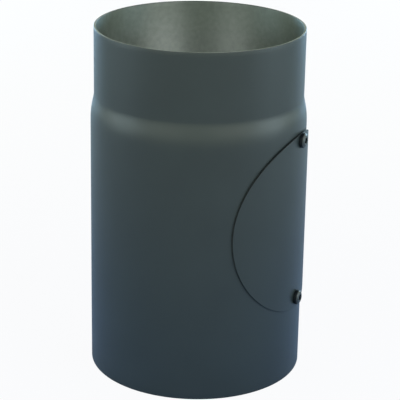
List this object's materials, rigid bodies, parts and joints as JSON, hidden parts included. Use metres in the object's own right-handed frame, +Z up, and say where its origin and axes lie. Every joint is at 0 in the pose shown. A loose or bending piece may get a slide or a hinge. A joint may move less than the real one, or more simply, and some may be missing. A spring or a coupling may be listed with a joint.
{
  "type": "stove pipe with cleanout",
  "caption": "Straight stove pipe section with a socket below, a swaged spigot on top and a round curved cleanout cover screwed over a hole in its side.",
  "frame": {"origin": "centre of the lower rim, on the pipe axis", "axes": "+Z up the pipe axis towards the spigot, the cleanout cover faces -Y"},
  "size_m": [0.153, 0.1579, 0.25],
  "materials": {
    "painted_steel": "matte heat resistant paint outside, bare sheet inside",
    "gasket_fibre": "matte graphited fibre paper",
    "screw_steel": "blackened steel, a little worn on the dome",
    "nut_steel": "bare steel"
  },
  "bodies": {
    "pipe": {"pipe_body": "painted_steel", "upper_weld_nut": "nut_steel", "lower_weld_nut": "nut_steel"},
    "cover": {"cleanout_cover": "painted_steel", "cover_gasket": "gasket_fibre"},
    "upper_screw": {"upper_screw": "screw_steel"},
    "lower_screw": {"lower_screw": "screw_steel"}
  },
  "joints": [
    {"name": "cover_lift", "type": "slide", "parent": "pipe", "child": "cover", "axis": [0, -1, 0], "range_m": [0, 0.08]},
    {"name": "upper_screw_turn", "type": "hinge", "parent": "cover", "child": "upper_screw", "pos_m": [0, -0.078, 0.1777], "axis": [0, -1, 0], "range_deg": [0, 2730]},
    {"name": "lower_screw_turn", "type": "hinge", "parent": "cover", "child": "lower_screw", "pos_m": [0, -0.078, 0.0601], "axis": [0, -1, 0], "range_deg": [0, 2730]}
  ]
}
